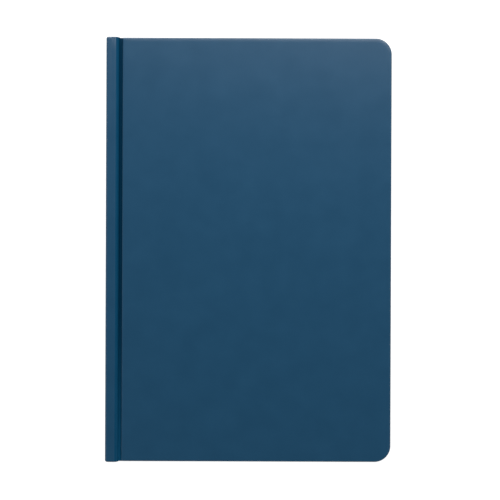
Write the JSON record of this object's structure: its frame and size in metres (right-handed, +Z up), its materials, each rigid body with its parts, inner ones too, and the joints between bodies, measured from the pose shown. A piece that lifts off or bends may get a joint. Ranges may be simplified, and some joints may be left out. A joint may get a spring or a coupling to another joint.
{
  "type": "casebound logbook",
  "caption": "Closed casebound logbook with stiff blue covers, a grooved joint, a flat spine and rounded fore-edge corners. It opens at its middle leaves.",
  "frame": {"origin": "centre of the closed book's footprint, on the surface it lies on", "axes": "+Z up through the front cover, +Y towards the head of the book, -X towards the spine"},
  "size_m": [0.1582, 0.2358, 0.0156],
  "materials": {
    "cover_cloth": "navy blue covering cloth, smooth, with a satin sheen",
    "greyboard": "plain millboard",
    "endpaper": "matt white endpaper",
    "leaf_paper": "matt writing paper, ruled",
    "kraft_paper": "plain kraft paper",
    "gauze": "open weave gauze with glue",
    "thread": "waxed linen thread",
    "band_weave": "navy and white woven band"
  },
  "bodies": {
    "back_half": {"back_board": "greyboard", "back_cover_cloth": "cover_cloth", "back_pastedown": "endpaper", "back_groove_cloth": "cover_cloth", "back_spine_lining": "gauze", "back_sewing_thread": "thread", "back_head_band": "band_weave", "back_tail_band": "band_weave", "back_flyleaf": "endpaper", "section_06": "leaf_paper", "section_07": "leaf_paper", "section_08": "leaf_paper", "section_09": "leaf_paper", "section_10": "leaf_paper"},
    "spine": {"spine_board": "greyboard", "spine_cloth": "cover_cloth", "spine_liner": "kraft_paper"},
    "front_cover": {"front_board": "greyboard", "front_cover_cloth": "cover_cloth", "front_pastedown": "endpaper", "front_groove_cloth": "cover_cloth"},
    "front_pages": {"front_spine_lining": "gauze", "front_sewing_thread": "thread", "front_head_band": "band_weave", "front_tail_band": "band_weave", "front_flyleaf": "endpaper", "section_01": "leaf_paper", "section_02": "leaf_paper", "section_03": "leaf_paper", "section_04": "leaf_paper", "section_05": "leaf_paper"}
  },
  "joints": [
    {"name": "book_opening", "type": "hinge", "parent": "back_half", "child": "front_pages", "pos_m": [-0.07565, 0, 0.00775], "axis": [0, -1, 0], "range_deg": [0, 179.5]},
    {"name": "spine_fold", "type": "hinge", "parent": "back_half", "child": "spine", "pos_m": [-0.07625, 0, 0.00295], "axis": [0, -1, 0], "range_deg": [0, 89.75], "deforming": ["back_groove_cloth"]},
    {"name": "front_cover_hinge", "type": "hinge", "parent": "spine", "child": "front_cover", "pos_m": [-0.07625, 0, 0.01265], "axis": [0, -1, 0], "range_deg": [0, 89.75], "deforming": ["front_groove_cloth"]}
  ],
  "couplings": [
    {"joint": "spine_fold", "follows": "book_opening", "ratio": 0.5},
    {"joint": "front_cover_hinge", "follows": "book_opening", "ratio": 0.5}
  ]
}
